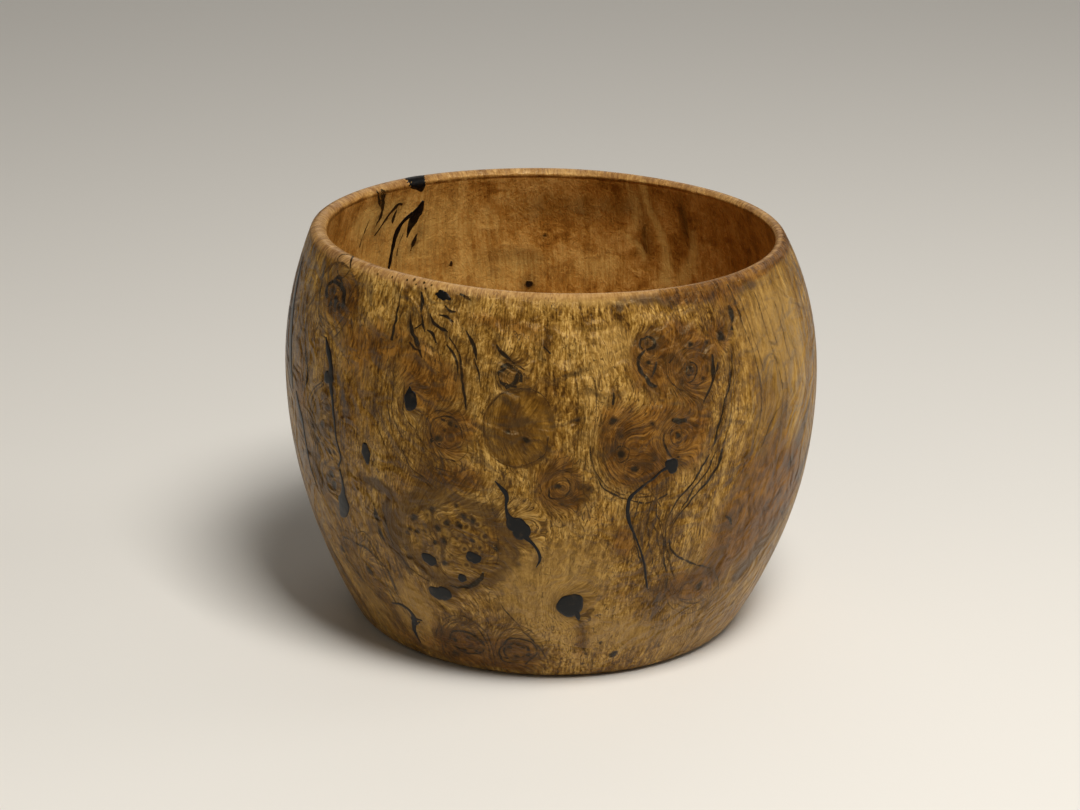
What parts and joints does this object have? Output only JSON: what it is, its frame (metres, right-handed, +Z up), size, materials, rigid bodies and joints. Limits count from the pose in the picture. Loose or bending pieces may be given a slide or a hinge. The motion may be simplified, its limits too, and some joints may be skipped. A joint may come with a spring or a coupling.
{
  "type": "wooden drinking cup",
  "caption": "Handle-less barrel-shaped drinking cup in one piece of burl wood, with black resin fills set flush in its knot holes and cracks.",
  "frame": {"origin": "centre of the flat underside of the foot", "axes": "+Z up along the cup's axis; -Y towards the side with the big teardrop knot; +X to the right as seen from that side"},
  "size_m": [0.096, 0.096, 0.072],
  "materials": {
    "burl_wood": "satin oil",
    "black_resin": "polished"
  },
  "bodies": {
    "root": {"cup_body": "burl_wood", "teardrop_fill": "black_resin", "round_fill": "black_resin", "low_oval_fill": "black_resin", "left_pea_fill": "black_resin", "right_pea_fill": "black_resin", "small_pea_fill": "black_resin", "high_oval_fill": "black_resin", "seed_fill": "black_resin", "long_crack_fill": "black_resin", "side_knot_fill": "black_resin", "foot_crack_fill": "black_resin", "branch_crack_fill": "black_resin", "edge_seam_fill": "black_resin", "edge_notch_fill": "black_resin", "lip_chip_fill": "black_resin", "lip_bark_fill": "black_resin"}
  },
  "joints": []
}
